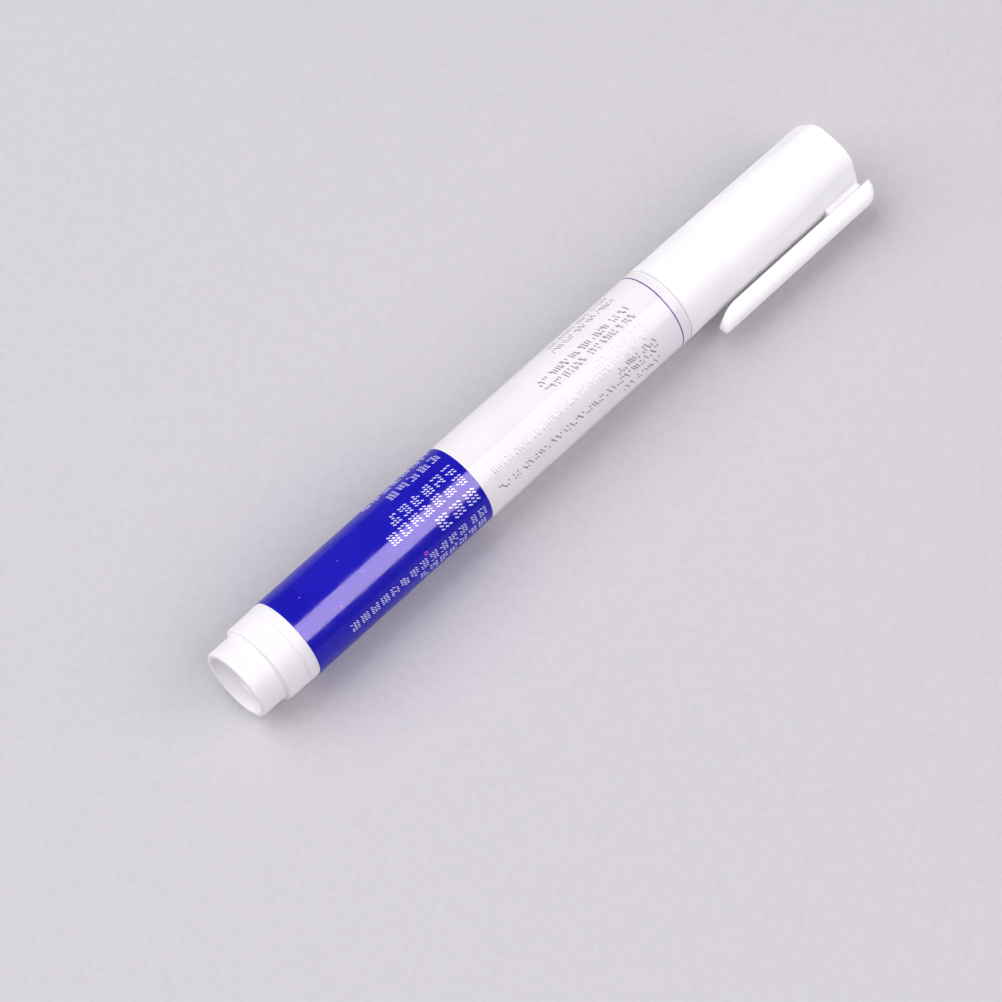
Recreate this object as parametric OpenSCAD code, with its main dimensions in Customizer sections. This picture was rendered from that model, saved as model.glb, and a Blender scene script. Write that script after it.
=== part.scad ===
// Valve-action fluid pen: capped barrel with a wrapped label, tail plug, spring valve,
// pressable fibre nib and a cap with a pocket clip.
// The pen's axis is X. The tail end is at x = 0, the cap is at +X, +Z is up.

/* [Tail plug] */
// Length of the spigot at the tail end
tail_len = 4.85; // [4:0.05:7]
// How much the plug's head stands back from the barrel's surface
plug_head_step = 0.075; // [0:0.025:0.3]
// Length of the plug's head, with its rounded shoulder
plug_head_len = 4.35; // [3:0.05:6]
// Radius of the rounded shoulder behind the head
plug_shoulder_r = 0.7; // [0.3:0.05:0.8]
// Thickness of the rim around the tail recess
rim_wall = 0.45; // [0.35:0.05:0.8]
// Depth of the tail recess
recess_depth = 1.7; // [1:0.1:3]
// Diameter of the dimple in the middle of the recess
dimple_d = 5.6; // [4:0.1:7]
// Depth of the dimple below the recess
dimple_depth = 1.1; // [0.6:0.1:2]
// How far the plug reaches into the barrel
plug_reach = 7.5; // [5:0.5:12]
// Wall of the plug's skirt inside the barrel
plug_skirt_wall = 1.2; // [0.8:0.1:2]

/* [Barrel] */
// Outer diameter of the barrel
barrel_d = 14.6; // [14:0.1:18]
// Wall thickness of the barrel
barrel_wall = 1.15; // [0.8:0.05:1.6]
// Length of the barrel's full-diameter part
barrel_len = 87.35; // [70:0.05:110]
// Wall thickness of the neck
neck_wall = 1.1; // [0.8:0.05:1.3]
// Length of the neck
neck_len = 9.45; // [8:0.05:12]
// Height of the snap bead on the neck
bead_h = 0.05; // [0.02:0.01:0.08]

/* [Label] */
// Thickness of the wrapped label
label_t = 0.16; // [0.1:0.01:0.3]
// Width of bare barrel behind the label
label_rear_margin = 2.1; // [1:0.1:5]
// Width of bare barrel in front of the label
label_front_margin = 0.65; // [0.3:0.05:3]

/* [Front section] */
// Thickness of the flange that seats on the neck's end
flange_len = 1.5; // [1:0.1:2.5]
// How far the front section reaches into the neck
holder_reach = 7.5; // [6:0.1:9]
// Length of the sealing land
land_len = 5; // [3:0.1:7]
// Length of the nose cone
cone_len = 8.5; // [6:0.5:12]
// Wall of the nose cone at its tip
cone_tip_wall = 0.95; // [0.6:0.05:1.2]
// Cord thickness of the O-ring on the front section
oring_d = 1; // [0.8:0.1:1.2]

/* [Nib] */
// Diameter of the nib
nib_d = 4; // [3:0.1:4.6]
// How far the nib stands out of the nose cone
nib_out = 6.5; // [5:0.1:8]
// Length of the nib's bullet tip
nib_tip_len = 3.2; // [2.5:0.1:4.5]
// Radius of the nib's very end
nib_end_r = 0.6; // [0.3:0.1:1]
// How far the nib goes in when it is pressed
press_travel = 1.8; // [1:0.1:2]

/* [Valve] */
// Outer diameter of the valve housing
housing_d = 7.2; // [6.8:0.1:7.4]
// Wall of the valve housing
housing_wall = 0.8; // [0.6:0.05:0.9]
// Length of the valve housing
housing_len = 12.8; // [12:0.1:16]
// Thickness of the housing's end wall
housing_end_t = 1.2; // [0.8:0.1:2]
// Number of inlet slots in the housing
slot_count = 4; // [3:1:6]
// Width of each inlet slot
slot_w = 1.6; // [1:0.1:2]
// Thickness of the rubber seat
seat_t = 1.2; // [1:0.1:1.6]
// Width of the flow gap between the stem and the seat's hole
seat_flow_gap = 0.75; // [0.5:0.05:0.9]
// Diameter of the valve stem
stem_d = 1.9; // [1.5:0.1:2.2]
// Gap between the valve head and the housing's bore
head_gap = 0.3; // [0.2:0.05:0.5]
// Thickness of the valve head
head_t = 1.6; // [1:0.1:2]
// How far the stem stands out behind the housing
stem_tail = 1.3; // [0.8:0.1:2]
// Wire diameter of the valve spring
wire_d = 0.4; // [0.3:0.05:0.5]
// Gap between the valve stem and the valve spring
spring_gap = 0.65; // [0.3:0.05:0.9]
// Number of turns of the valve spring
spring_turns = 6; // [4:1:8]

/* [Cap] */
// Length of the cap without the clip's overhang
cap_len = 41.35; // [39:0.05:50]
// How much the cap stands proud of the barrel's surface
cap_proud = 0; // [-0.2:0.05:0.6]
// Wall of the cap over the neck
cap_mouth_wall = 0.7; // [0.55:0.05:1]
// Wall of the cap past the neck
cap_body_wall = 1.15; // [1:0.05:1.6]
// How much the cap's outside draws in towards its closed end
cap_draw = 0.15; // [0:0.05:0.3]
// Height of the collar at the cap's mouth above the cap's body
collar_step = 0.05; // [0.05:0.05:0.3]
// Length of the collar
collar_len = 5.45; // [3:0.05:8]
// How much wider in radius the collar is at the cap's very mouth
collar_flare = 0.11; // [0:0.01:0.2]
// Thickness of the cap's closed end
cap_end_t = 1.6; // [1:0.1:2.5]
// Number of shallow flats on the cap
flat_count = 6; // [4:1:8]
// Depth of each flat at the closed end
flat_depth = 0.36; // [0.1:0.02:0.4]
// Length over which the flats run out
flat_len = 24; // [15:1:30]
// Rounding of the cap's outer edge at the closed end
cap_edge_r = 0.3; // [0.1:0.05:0.5]

/* [Cap liner] */
// Wall of the liner
liner_wall = 0.7; // [0.5:0.05:0.9]
// Gap between the liner and the cap, which the liner's two rims bridge
liner_gap = 0.5; // [0.3:0.05:0.7]
// Thickness of the liner's two rims
liner_rim_t = 1.5; // [1:0.1:2.5]
// Length of the liner's straight mouth
liner_mouth_len = 4.5; // [3:0.1:6]
// Gap between the nose cone's tip and the liner
liner_tip_gap = 0.4; // [0.2:0.05:0.8]

/* [Pocket clip] */
// Length of the clip
clip_len = 38.2; // [25:0.1:40]
// Width of the clip
clip_w = 4.45; // [3.5:0.05:6]
// Thickness of the clip at its middle line
clip_t = 3; // [1.8:0.05:3.5]
// Radius of the clip's rounded outer surface
clip_crown_r = 2.6; // [2.4:0.1:6]
// Gap between the clip and the cap's outside
clip_gap = 0.9; // [0.6:0.05:2]
// How far the clip stands out past the cap's closed end
clip_overhang = 1.4; // [0.5:0.1:3]
// Rounding of the clip's root end, seen from the side
clip_root_r = 2.6; // [1:0.1:2.8]
// Length of the ramp under the clip's free end, which leads a pocket's edge in
clip_lead_len = 4.6; // [3:0.1:7]
// How far the ramp has risen at the very end
clip_lead_h = 1.4; // [0.6:0.1:1.6]
// Turn of the clip about the pen's axis, from straight up
clip_roll = 99; // [0:1:180]
// Length of the post that carries the clip
post_len = 6.7; // [5:0.1:8]
// Width of the post
post_w = 3.4; // [2.5:0.1:3.5]
// Distance of the post from the cap's closed end
post_inset = 0.6; // [0.3:0.1:2]

/* [Liquid] */
// Height of the liquid's surface above the pen's axis
fill_level = 2.4; // [-4:0.1:5]

/* [Fits] */
// Radial clearance of the cap on the neck's bead
cap_clearance = 0.1; // [0.05:0.01:0.15]
// Radial clearance of the cap's mouth on the tail spigot, when the cap is posted there
tail_clearance = 0.175; // [0.1:0.025:0.3]
// Radial clearance of the nib in the nose
nib_clearance = 0.05; // [0.02:0.01:0.1]
// Radial clearance of the stem in its guide
stem_clearance = 0.05; // [0.02:0.01:0.1]
// Radial clearance of the liner on the sealing land
liner_clearance = 0.05; // [0.02:0.01:0.1]
// Gap between the cap's mouth and the barrel's shoulder
mouth_gap = 0.2; // [0.1:0.05:0.4]

/* [Hidden] */

// Everything round is drawn with this many steps
$fn = 96;
eps = 0.01;
shoulder_t = 1.05;
liner_inset = 2;
holder_edge = 0.5;
slot_margin = 0.8;
groove_slack = 0.1;
bead_len = 1;
post_root = 0.3;
past = 1;

// Places along the axis, from the tail to the cap
barrel_x = tail_len + plug_head_len;
shoulder_x = barrel_x + barrel_len;
neck_end_x = shoulder_x + neck_len;
label_x = barrel_x + label_rear_margin;
label_len = barrel_len - label_rear_margin - label_front_margin;
flange_x = neck_end_x;
land_x = flange_x + flange_len;
cone_x = land_x + land_len;
cone_tip_x = cone_x + cone_len;
nib_tip_x = cone_tip_x + nib_out;
nib_rear_x = neck_end_x;
cap_x = shoulder_x + mouth_gap;
cap_end_x = cap_x + cap_len;
cap_step_x = land_x + mouth_gap;
cap_floor_x = cap_end_x - cap_end_t;
liner_x = land_x + liner_inset;

// Radii that follow from the driving sizes
barrel_r = barrel_d / 2;
bore_r = barrel_r - barrel_wall;
label_r = barrel_r + label_t;
plug_head_r = barrel_r - plug_head_step;
cap_r = barrel_r + cap_proud;
cap_end_r = cap_r - cap_draw;
collar_r = cap_r + collar_step;
cap_bore_r = cap_r - cap_mouth_wall;
cap_inner_r = cap_r - cap_body_wall;
tail_r = cap_bore_r - tail_clearance;
neck_r = cap_bore_r - cap_clearance - bead_h;
neck_bore_r = neck_r - neck_wall;
liner_mouth_r = cap_inner_r - liner_gap;
liner_bore_r = liner_mouth_r - liner_wall;
land_r = liner_bore_r - liner_clearance;
nib_r = nib_d / 2;
nib_bore_r = nib_r + nib_clearance;
cone_tip_r = nib_bore_r + cone_tip_wall;
liner_end_r = cone_tip_r + liner_tip_gap;

// Valve stations: the seat is pressed against the holder's socket floor
seat_front_x = nib_rear_x - press_travel - groove_slack;
seat_x = seat_front_x - seat_t;
housing_x = seat_x - housing_len;
housing_r = housing_d / 2;
housing_bore_r = housing_r - housing_wall;
stem_r = stem_d / 2;
head_r = housing_bore_r - head_gap;
seat_hole_r = stem_r + seat_flow_gap;
spring_r = stem_r + spring_gap + wire_d / 2;
spring_x = housing_x + housing_end_t;
head_x = seat_x - head_t;
stem_end_x = housing_x - stem_tail;
holder_x = neck_end_x - holder_reach;
oring_x = (holder_x + neck_end_x) / 2;
oring_r = neck_bore_r - oring_d / 2;

// The clip's own stations
clip_x = cap_end_x + clip_overhang - clip_len;
clip_end_x = clip_x + clip_len;
clip_in_r = cap_r + clip_gap;
clip_out_r = clip_in_r + clip_t;
post_end_x = cap_end_x - post_inset;
post_x = post_end_x - post_len;

// A solid turned about the pen's axis from a drawing of [radius, x]
module turned() {
    rotate([0, 90, 0])
        rotate_extrude()
            children();
}

// A ring between two radii, from x0 over a length
module band(x0, len, r_in, r_out) {
    translate([r_in, x0])
        square([r_out - r_in, len]);
}

// A solid at the clip's turn about the axis, drawn as if the clip were straight up
module at_clip() {
    rotate([clip_roll, 0, 0])
        children();
}

// The barrel: a tube with a shoulder, and a thinner neck with a snap bead
module barrel() {
    color("white")
        turned() {
            band(barrel_x, barrel_len, bore_r, barrel_r);
            band(shoulder_x - shoulder_t, shoulder_t, neck_bore_r, barrel_r);
            band(shoulder_x - eps, neck_len + eps, neck_bore_r, neck_r);
            band(neck_end_x - neck_len / 3, bead_len, neck_bore_r, neck_r + bead_h);
        }
}

// The printed film around the barrel
module label_wrap() {
    color("mediumblue")
        turned()
            band(label_x, label_len, barrel_r, label_r);
}

// The plug that closes the barrel's tail: spigot, head and skirt, with a dished recess
module tail_plug() {
    recess_r = tail_r - rim_wall;
    dish_r = (recess_r * recess_r + recess_depth * recess_depth) / (2 * recess_depth);
    dimple_r = dimple_d / 2;
    cup_r = (dimple_r * dimple_r + dimple_depth * dimple_depth) / (2 * dimple_depth);
    floor_t = plug_skirt_wall;
    hollow_x = max(recess_depth + dimple_depth, tail_len) + floor_t;
    color("white")
        turned()
            difference() {
                union() {
                    band(0, tail_len + plug_shoulder_r, 0, tail_r);
                    band(tail_len + plug_shoulder_r, plug_head_len - plug_shoulder_r, 0, plug_head_r);
                    band(tail_len, plug_shoulder_r, 0, plug_head_r - plug_shoulder_r);
                    intersection() {
                        translate([plug_head_r - plug_shoulder_r, tail_len + plug_shoulder_r])
                            circle(r = plug_shoulder_r);
                        band(0, barrel_x, 0, plug_head_r);
                    }
                    band(barrel_x - eps, plug_reach + eps, 0, bore_r);
                }
                intersection() {
                    translate([0, recess_depth - dish_r])
                        circle(r = dish_r);
                    band(-eps, barrel_x, 0, recess_r);
                }
                intersection() {
                    translate([0, recess_depth + dimple_depth - cup_r])
                        circle(r = cup_r);
                    band(-eps, barrel_x, 0, dimple_r);
                }
                band(hollow_x, barrel_x + plug_reach, 0, bore_r - plug_skirt_wall);
            }
}

// The liquid, level and with air above it, clear of the valve
module liquid_fill() {
    start_x = barrel_x + plug_reach;
    len = shoulder_x - shoulder_t - start_x;
    well_r = housing_r + stem_clearance;
    color("gold")
        difference() {
            turned()
                band(start_x, len, 0, bore_r);
            translate([start_x - past, -barrel_r, fill_level])
                cube([len + 2 * past, barrel_d, barrel_r]);
            turned()
                band(stem_end_x - press_travel - past, len, 0, well_r);
        }
}

// The front section: socket for the valve, flange, sealing land and nose cone
module nib_holder() {
    groove_r = neck_bore_r - oring_d;
    color("whitesmoke")
        turned()
            difference() {
                union() {
                    band(holder_x, holder_reach, 0, neck_bore_r);
                    band(flange_x, flange_len, 0, neck_r);
                    band(land_x - eps, land_len + eps, 0, land_r);
                    polygon([[0, cone_x - eps], [land_r - holder_edge, cone_x - eps],
                             [cone_tip_r, cone_tip_x], [0, cone_tip_x]]);
                }
                band(holder_x - past, seat_front_x - holder_x + past, 0, housing_r);
                band(holder_x, cone_tip_x, 0, nib_bore_r);
                band(oring_x - oring_d / 2 - groove_slack / 2, oring_d + groove_slack,
                     groove_r, neck_r);
            }
}

// The O-ring in the front section's groove
module holder_o_ring() {
    color("dimgray")
        turned()
            translate([oring_r, oring_x])
                circle(d = oring_d);
}

// The slotted cage behind the seat, closed at the rear but for the stem's guide
module valve_housing() {
    slot_x = spring_x + slot_margin;
    slot_len = holder_x - slot_x - slot_margin;
    color("lightgray")
        difference() {
            turned()
                difference() {
                    band(housing_x, housing_len, 0, housing_r);
                    band(spring_x, housing_len, 0, housing_bore_r);
                    band(housing_x - past, housing_len, 0, stem_r + stem_clearance);
                }
            for (k = [0 : slot_count - 1])
                rotate([k * 360 / slot_count, 0, 0])
                    translate([slot_x, -slot_w / 2, housing_bore_r / 2])
                        cube([slot_len, slot_w, housing_r]);
        }
}

// The rubber washer that the valve head closes on
module valve_seat() {
    color("dimgray")
        turned()
            band(seat_x, seat_t, seat_hole_r, housing_r);
}

// The poppet: a head with a finger that meets the nib and a tail in the guide
module valve_stem() {
    color("gainsboro")
        turned() {
            band(stem_end_x, nib_rear_x - stem_end_x, 0, stem_r);
            band(head_x, head_t, 0, head_r);
        }
}

// A point of the spring's wire: turn t of the coil, angle a around the wire
function wire_point(t, a, len) =
    let (r = spring_r + wire_d / 2 * cos(a))
    [spring_x + wire_d / 2 + (len - wire_d) * t / spring_turns + wire_d / 2 * sin(a),
     r * cos(360 * t), r * sin(360 * t)];

// The compression spring, as one swept wire
module valve_spring() {
    len = head_x - spring_x;
    sides = 8;
    steps = spring_turns * 20;
    rings = [for (i = [0 : steps])
             for (k = [0 : sides - 1])
             wire_point(i * spring_turns / steps, k * 360 / sides, len)];
    walls = [for (i = [0 : steps - 1])
             for (k = [0 : sides - 1])
             [i * sides + k, i * sides + (k + 1) % sides,
              (i + 1) * sides + (k + 1) % sides, (i + 1) * sides + k]];
    first = [for (k = [sides - 1 : -1 : 0]) k];
    last = [for (k = [0 : sides - 1]) steps * sides + k];
    color("silver")
        polyhedron(points = rings, faces = concat([first], walls, [last]));
}

// The fibre nib: a rod with a bullet tip
module nib() {
    tip_x = nib_tip_x - nib_tip_len;
    color("ivory")
        turned() {
            band(nib_rear_x, tip_x - nib_rear_x, 0, nib_r);
            polygon([[0, tip_x - eps], [nib_r, tip_x - eps], [nib_r, tip_x],
                     [nib_r * 0.86, tip_x + nib_tip_len * 0.36],
                     [nib_end_r, nib_tip_x - nib_end_r * 0.6],
                     [nib_end_r * 0.6, nib_tip_x - nib_end_r * 0.15],
                     [0, nib_tip_x]]);
        }
}

// One shallow flat: a block whose lower face slopes into the cap towards its closed end
module cap_flat() {
    draft = cap_draw / (cap_len - collar_len - cap_edge_r);
    translate([cap_end_x, 0, cap_end_r - flat_depth])
        rotate([0, atan(flat_depth / flat_len + draft), 0])
            translate([-cap_len, -cap_r, 0])
                cube([cap_len + past, 2 * cap_r, cap_r]);
}

// The cap's outside, before the hollow is taken out
module cap_outside() {
    turned() {
        polygon([[0, cap_x], [collar_r + collar_flare, cap_x],
                 [collar_r, cap_x + collar_len], [0, cap_x + collar_len]]);
        polygon([[0, cap_x + collar_len - eps], [cap_r, cap_x + collar_len - eps],
                 [cap_end_r, cap_end_x - cap_edge_r],
                 [cap_end_r - cap_edge_r, cap_end_x], [0, cap_end_x]]);
    }
}

// The post that carries the clip
module clip_post() {
    foot_r = cap_inner_r + post_root;
    translate([post_x, -post_w / 2, foot_r])
        cube([post_len, post_w, clip_in_r - foot_r]);
}

// The cap: collar, fluted body, closed end and the clip's post
module cap_shell() {
    color("white")
        difference() {
            union() {
                difference() {
                    cap_outside();
                    at_clip()
                        for (k = [0 : flat_count - 1])
                            rotate([(k + 0.5) * 360 / flat_count, 0, 0])
                                cap_flat();
                }
                at_clip()
                    clip_post();
            }
            turned() {
                band(cap_x - past, cap_step_x - cap_x + past, 0, cap_bore_r);
                band(cap_step_x - eps, cap_floor_x - cap_step_x + eps, 0, cap_inner_r);
            }
        }
}

// The liner that seals around the front section, with a rim at each end
module cap_liner() {
    taper_x = liner_x + liner_mouth_len;
    end_out_r = liner_end_r + liner_wall;
    color("white")
        turned()
            difference() {
                union() {
                    band(liner_x, liner_rim_t, 0, cap_inner_r);
                    band(liner_x, liner_mouth_len, 0, liner_mouth_r);
                    polygon([[0, taper_x - eps], [liner_mouth_r, taper_x - eps],
                             [end_out_r, cone_tip_x], [0, cone_tip_x]]);
                    band(cone_tip_x - eps, cap_floor_x - cone_tip_x + eps, 0, end_out_r);
                    band(cap_floor_x - liner_rim_t, liner_rim_t, 0, cap_inner_r);
                }
                band(liner_x - past, liner_mouth_len + past, 0, liner_bore_r);
                polygon([[0, taper_x - eps], [liner_bore_r, taper_x - eps],
                         [liner_end_r, cone_tip_x], [0, cone_tip_x]]);
                band(cone_tip_x - eps, cap_floor_x - liner_rim_t - cone_tip_x + eps, 0,
                     liner_end_r);
            }
}

// The clip seen from the side: a bar with its outer root corner rounded and a ramped free end
module clip_side() {
    corner = [clip_end_x - clip_root_r, clip_out_r - clip_root_r];
    half = clip_lead_len / 2;
    difference() {
        translate([clip_x, clip_in_r])
            square([clip_len, clip_t]);
        difference() {
            translate(corner)
                square(clip_root_r + past);
            translate(corner)
                circle(r = clip_root_r);
        }
        translate([clip_x, clip_in_r])
            polygon([[2 * half, 0], [half, clip_lead_h / 4], [0, clip_lead_h],
                     [-past, clip_lead_h], [-past, -past], [2 * half, -past]]);
    }
}

// The clip: a crowned bar with a rounded free end and a ramp under it
module pocket_clip() {
    color("white")
        at_clip()
            intersection() {
                // Section along the pen: flat inside, crowned outside
                rotate([90, 0, 90])
                    linear_extrude(clip_end_x + past)
                        intersection() {
                            translate([-clip_w / 2, clip_in_r])
                                square([clip_w, clip_t]);
                            union() {
                                translate([0, clip_out_r - clip_crown_r])
                                    circle(r = clip_crown_r);
                                translate([-clip_w / 2, 0])
                                    square([clip_w, clip_out_r - clip_crown_r]);
                            }
                        }
                // Outline from above: round at the free end
                linear_extrude(clip_out_r + past)
                    union() {
                        translate([clip_x + clip_w / 2, 0])
                            circle(d = clip_w);
                        translate([clip_x + clip_w / 2, -clip_w / 2])
                            square([clip_len - clip_w / 2, clip_w]);
                    }
                // Outline from the side: round at the root's outer corner, ramp at the free end
                translate([0, clip_w, 0])
                    rotate([90, 0, 0])
                        linear_extrude(clip_w * 2)
                            clip_side();
            }
}

barrel();
label_wrap();
tail_plug();
liquid_fill();
nib_holder();
holder_o_ring();
valve_housing();
valve_seat();
valve_stem();
valve_spring();
nib();
cap_shell();
cap_liner();
pocket_clip();
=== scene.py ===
"""Looks of a capped fluid pen: printed film on a white barrel, tail plug, cap with pocket clip,
and the valve, nib and seals inside. Everything is in metres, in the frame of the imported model.
The pen lies along X with its tail at x = 0. An angle around the pen is counted from +Z towards -Y.
"""

import logging
import math
from dataclasses import dataclass, field
from enum import Enum

import bpy
import numpy as np
from mathutils import Matrix, Vector


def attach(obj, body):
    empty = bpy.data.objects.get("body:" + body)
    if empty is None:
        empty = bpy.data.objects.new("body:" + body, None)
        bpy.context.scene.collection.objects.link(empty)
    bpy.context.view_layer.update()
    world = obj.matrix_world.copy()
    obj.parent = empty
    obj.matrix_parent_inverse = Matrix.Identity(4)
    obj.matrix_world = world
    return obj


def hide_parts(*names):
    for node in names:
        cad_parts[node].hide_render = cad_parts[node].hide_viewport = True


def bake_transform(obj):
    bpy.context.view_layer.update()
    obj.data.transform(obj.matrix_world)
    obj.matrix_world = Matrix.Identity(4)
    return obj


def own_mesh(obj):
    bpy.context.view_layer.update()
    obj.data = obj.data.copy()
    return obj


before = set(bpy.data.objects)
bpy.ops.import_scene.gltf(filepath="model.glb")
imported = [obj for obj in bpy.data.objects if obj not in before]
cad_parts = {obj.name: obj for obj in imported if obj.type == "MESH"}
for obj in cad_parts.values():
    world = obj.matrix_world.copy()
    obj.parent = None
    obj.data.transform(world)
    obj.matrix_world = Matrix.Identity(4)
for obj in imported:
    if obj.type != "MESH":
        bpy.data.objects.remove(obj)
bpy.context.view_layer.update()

MM = 0.001
LOG = logging.getLogger("fluid_pen")


class Ends(Enum):
    """How a grid of surface points is closed along its rows."""

    POLES = "poles"
    LOOP = "loop"


class Ink(Enum):
    """The inks of the label's small print."""

    GREY = "grey"
    PALE = "pale"


# ---------------------------------------------------------------------------------------------
# Surfaces
# ---------------------------------------------------------------------------------------------


def unit(vectors: np.ndarray) -> np.ndarray:
    """The same directions with length one, along the last axis."""
    return vectors / np.maximum(np.linalg.norm(vectors, axis=-1, keepdims=True), 1e-12)


def rounded_path(corners: list, radii: list, closed: bool = True, arc_steps: int = 6) -> np.ndarray:
    """A path through corners, each replaced by an arc.

    The arc of radius r at a corner that turns by angle t touches both sides at r * tan(t / 2)
    from the corner. A guard point a little further out on each side keeps the shading of the
    flat stretches flat.

    Args:
        corners: Points (a, b) in order.
        radii: Radius of the arc at each corner. Zero keeps the corner.
        closed: Whether the last corner is joined to the first.
        arc_steps: Number of segments of each arc.

    Returns:
        The path's points, shape (n, 2), without repeats.
    """
    p = np.asarray(corners, float)
    r = np.array(radii, float)
    into, out = p - np.roll(p, 1, axis=0), np.roll(p, -1, axis=0) - p
    room = np.minimum(np.linalg.norm(into, axis=1), np.linalg.norm(out, axis=1))
    a, b = unit(into), unit(out)
    turn = np.arctan2(a[:, 0] * b[:, 1] - a[:, 1] * b[:, 0], (a * b).sum(axis=1))
    if not closed:
        r[[0, -1]] = 0
        turn[[0, -1]] = 0
    half = np.maximum(np.tan(np.abs(turn) / 2), 1e-9)
    r = np.minimum(r, 0.45 * room / half)
    cut = r * half
    side = np.stack([-a[:, 1], a[:, 0]], axis=1) * np.sign(turn)[:, None]
    centre = p - a * cut[:, None] + side * r[:, None]
    angle = np.linspace(0, 1, arc_steps + 1)[None, :] * turn[:, None]
    spoke = -side * r[:, None]
    arc = centre[:, None, :] + np.stack(
        [spoke[:, :1] * np.cos(angle) - spoke[:, 1:] * np.sin(angle),
         spoke[:, :1] * np.sin(angle) + spoke[:, 1:] * np.cos(angle)], axis=2)
    guard = np.minimum(0.35 * r, 0.04 * room)[:, None]
    before = p - a * (cut[:, None] + guard)
    after = p + b * (cut[:, None] + guard)
    path = np.concatenate([before[:, None], arc, after[:, None]], axis=1).reshape(-1, 2)
    if not closed:
        path = path[arc_steps + 2:-(arc_steps + 2)]
    gap = np.linalg.norm(path - np.roll(path, 1, axis=0), axis=1)
    keep = gap > 1e-7
    if not closed:
        keep[0] = True
    return path[keep]


def with_stations(path: np.ndarray, step: float, closed: bool) -> np.ndarray:
    """The path with more points on its long stretches, so that none is longer than about step.

    Each point's place is linear in the distance along the path.

    Args:
        path: Points, shape (n, 2).
        step: The longest stretch that is left whole.
        closed: Whether the last point is joined to the first.

    Returns:
        Points, shape (m, 2), with the path's own among them.
    """
    ring = np.vstack([path, path[:1]]) if closed else path
    along = np.concatenate([[0], np.cumsum(np.linalg.norm(np.diff(ring, axis=0), axis=1))])
    count = np.maximum(1, np.ceil(np.diff(along) / step)).astype(int)
    first = np.repeat(along[:-1], count)
    share = np.arange(count.sum()) - np.repeat(np.cumsum(count) - count, count)
    places = first + share * np.repeat(np.diff(along) / count, count)
    if not closed:
        places = np.append(places, along[-1])
    return np.stack([np.interp(places, along, ring[:, k]) for k in (0, 1)], axis=1)


def around(x: np.ndarray, r: np.ndarray, steps: int) -> np.ndarray:
    """A surface turned about the pen: (x, -r sin a, r cos a) for each angle a.

    Args:
        x: Places along the pen, shape (m,).
        r: Radii, shape (m,) or (m, steps).
        steps: Number of angles.

    Returns:
        Points of shape (m, steps, 3).
    """
    a = np.arange(steps) * 2 * math.pi / steps
    radius = np.broadcast_to(r[:, None] if r.ndim == 1 else r, (len(x), steps))
    along = np.broadcast_to(x[:, None], (len(x), steps))
    return np.stack([along, -radius * np.sin(a), radius * np.cos(a)], axis=2)


def closed_surface(name: str, grid: np.ndarray, ends: Ends) -> bpy.types.Object:
    """A closed mesh from a grid of points, whose columns always join up.

    Quads link each point to the next row and column. With LOOP the last row joins the first.
    With POLES the first and last rows shrink to one point each, closed by fans. The faces are
    turned round if the enclosed volume, a sum of p0 . (p1 x p2) / 6, comes out negative.

    Args:
        name: The piece's name.
        grid: Points of shape (rows, columns, 3), in metres.
        ends: How the rows are closed.

    Returns:
        The new object, shaded smooth.
    """
    rows, cols = grid.shape[:2]
    wrapped = ends is Ends.LOOP
    body = grid if wrapped else grid[1:-1]
    points = body.reshape(-1, 3)
    m = len(body)
    i, j = np.meshgrid(np.arange(m if wrapped else m - 1), np.arange(cols), indexing="ij")
    k, l = (i + 1) % m, (j + 1) % cols
    quads = np.stack([i * cols + j, i * cols + l, k * cols + l, k * cols + j], axis=2).reshape(-1, 4)
    fans = np.zeros((0, 3), int)
    if not wrapped:
        points = np.vstack([points, grid[0].mean(axis=0), grid[-1].mean(axis=0)])
        j = np.arange(cols)
        l = (j + 1) % cols
        first, last = m * cols, m * cols + 1
        start = np.stack([np.full(cols, first), l, j], axis=1)
        stop = np.stack([np.full(cols, last), (m - 1) * cols + j, (m - 1) * cols + l], axis=1)
        fans = np.vstack([start, stop])
    a, b, c, d = (points[quads[:, n]] for n in range(4))
    volume = (a * np.cross(b, c)).sum() + (a * np.cross(c, d)).sum()
    if len(fans):
        a, b, c = (points[fans[:, n]] for n in range(3))
        volume += (a * np.cross(b, c)).sum()
    if volume < 0:
        quads, fans = quads[:, ::-1], fans[:, ::-1]
    return mesh_piece(name, points, quads.tolist() + fans.tolist())


def mesh_piece(name: str, points: np.ndarray, faces: list) -> bpy.types.Object:
    """A linked object at the origin, shaded smooth.

    Args:
        name: The piece's name.
        points: Its points in metres, shape (n, 3).
        faces: Its faces, as lists of point numbers.

    Returns:
        The new object.
    """
    mesh = bpy.data.meshes.new(name)
    mesh.from_pydata(points.tolist(), [], faces)
    mesh.validate()
    mesh.polygons.foreach_set("use_smooth", np.ones(len(mesh.polygons), bool))
    mesh.update()
    piece = bpy.data.objects.new(name, mesh)
    bpy.context.scene.collection.objects.link(piece)
    return piece


def turned(name: str, corners: list, radii: list, ends: Ends, steps: int = 128) -> bpy.types.Object:
    """A piece turned about the pen from a rounded outline.

    Args:
        name: The piece's name.
        corners: The outline's corners as (x, radius), in millimetres.
        radii: The rounding of each corner, in millimetres.
        ends: How the outline is closed.
        steps: Number of angles.

    Returns:
        The new object.
    """
    path = rounded_path(corners, radii, closed=ends is Ends.LOOP) * MM
    return closed_surface(name, around(path[:, 0], path[:, 1], steps), ends)


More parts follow.
